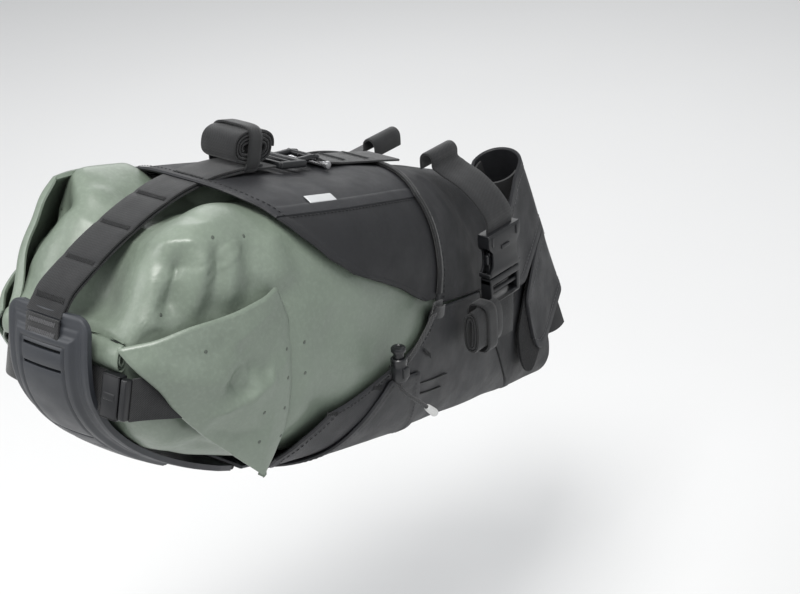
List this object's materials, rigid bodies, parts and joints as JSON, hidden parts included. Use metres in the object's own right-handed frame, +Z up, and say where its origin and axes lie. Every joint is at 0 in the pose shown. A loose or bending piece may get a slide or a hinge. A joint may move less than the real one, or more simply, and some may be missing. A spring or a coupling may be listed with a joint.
{
  "type": "bicycle saddle bag",
  "caption": "Seat pack: roll-top dry bag in a laminate holster with a hinged rear pad, strapped to two saddle rails and wrapped round a seat post.",
  "frame": {"origin": "on the seat post's axis, at the middle of the post cradle", "axes": "+X toward the front of the bike, +Y to its left, +Z up; the bag runs rearward along -X, rising 16 degrees"},
  "size_m": [0.4561, 0.1684, 0.2752],
  "materials": {
    "coated_fabric": "satin coated fabric",
    "laminate": "matt coated laminate",
    "moulded_pad": "matt thermoformed",
    "webbing": "woven",
    "buckle_plastic": "moulded satin",
    "stiff_sheet": "sheet",
    "grip_rubber": "grippy",
    "loop_pile": "brushed pile",
    "elastic_cord": "braided",
    "grey_plastic": "satin",
    "steel": "plain"
  },
  "bodies": {
    "holster": {"holster_top_panel": "laminate", "holster_side_panel_left": "laminate", "holster_side_panel_right": "laminate", "holster_lower_shell": "laminate", "holster_floor_stiffener": "stiff_sheet", "front_cowl": "laminate", "cowl_front_panel": "laminate", "cowl_piping": "webbing", "side_pocket": "laminate", "pad_tongue": "laminate", "anchor_webbing": "webbing", "anchor_ring": "steel", "post_cradle": "grip_rubber", "loop_patch_upper": "loop_pile", "loop_patch_lower": "loop_pile", "rail_loop_left": "webbing", "rail_loop_right": "webbing", "rail_buckle_female_left": "buckle_plastic", "rail_buckle_female_right": "buckle_plastic", "webbing_roll_left": "webbing", "webbing_roll_right": "webbing", "roll_keeper_left": "webbing", "roll_keeper_right": "webbing", "drawcord": "elastic_cord", "drawcord_tail": "elastic_cord", "cord_lock_body": "buckle_plastic", "cord_lock_spring": "steel", "cord_end": "grey_plastic", "cord_loop": "webbing"},
    "dry_bag": {"dry_bag_shell": "coated_fabric", "rolled_closure": "coated_fabric", "closure_stiffener": "stiff_sheet", "closure_strap_left": "webbing", "closure_strap_right": "webbing", "closure_buckle_female": "buckle_plastic"},
    "closure_clip": {"closure_buckle_male": "buckle_plastic"},
    "rear_pad": {"rear_pad": "moulded_pad", "rear_pad_panel": "moulded_pad", "pad_hinge_seam": "webbing"},
    "top_strap": {"top_strap": "webbing", "top_strap_bartack": "webbing", "top_strap_roll": "webbing", "top_strap_keeper": "webbing", "top_hook": "buckle_plastic"},
    "flap_upper": {"post_flap_upper": "laminate"},
    "flap_lower": {"post_flap_lower": "laminate"},
    "rail_clip_left": {"rail_buckle_male_left": "buckle_plastic", "adjust_webbing_left": "webbing"},
    "rail_clip_right": {"rail_buckle_male_right": "buckle_plastic", "adjust_webbing_right": "webbing"},
    "cord_lock_button": {"cord_lock_plunger": "buckle_plastic"}
  },
  "joints": [
    {"name": "dry_bag_slide", "type": "slide", "parent": "holster", "child": "dry_bag", "axis": [-0.9613, 0, 0.2756], "range_m": [0, 0.175]},
    {"name": "rear_pad_fold", "type": "hinge", "parent": "holster", "child": "rear_pad", "pos_m": [-0.31199, 0, -0.01077], "axis": [0, -1, 0], "range_deg": [0, 121]},
    {"name": "top_strap_fold", "type": "hinge", "parent": "rear_pad", "child": "top_strap", "pos_m": [-0.416, 0, 0.13078], "axis": [0, -1, 0], "range_deg": [0, 119]},
    {"name": "closure_clip_slide", "type": "slide", "parent": "dry_bag", "child": "closure_clip", "axis": [0, -1, 0], "range_m": [0, 0.012]},
    {"name": "flap_upper_open", "type": "hinge", "parent": "holster", "child": "flap_upper", "pos_m": [-0.00663, 0.01456, -0.00254], "axis": [-0.3584, 0, 0.9336], "range_deg": [0, 150]},
    {"name": "flap_lower_open", "type": "hinge", "parent": "holster", "child": "flap_lower", "pos_m": [-0.00663, 0.01456, -0.00254], "axis": [-0.3584, 0, 0.9336], "range_deg": [0, 150]},
    {"name": "rail_clip_left_slide", "type": "slide", "parent": "holster", "child": "rail_clip_left", "axis": [0, 0, -1], "range_m": [0, 0.022]},
    {"name": "rail_clip_right_slide", "type": "slide", "parent": "holster", "child": "rail_clip_right", "axis": [0, 0, -1], "range_m": [0, 0.022]},
    {"name": "cord_lock_press", "type": "slide", "parent": "holster", "child": "cord_lock_button", "axis": [0, 0, -1], "range_m": [0, 0.0025], "stiffness_N_per_m": 400, "deforming": ["cord_lock_spring"]}
  ],
  "couplings": [
    {"joint": "rear_pad_fold", "follows": "dry_bag_slide", "rad_per_m": 11.968},
    {"joint": "top_strap_fold", "follows": "dry_bag_slide", "rad_per_m": 11.768}
  ]
}
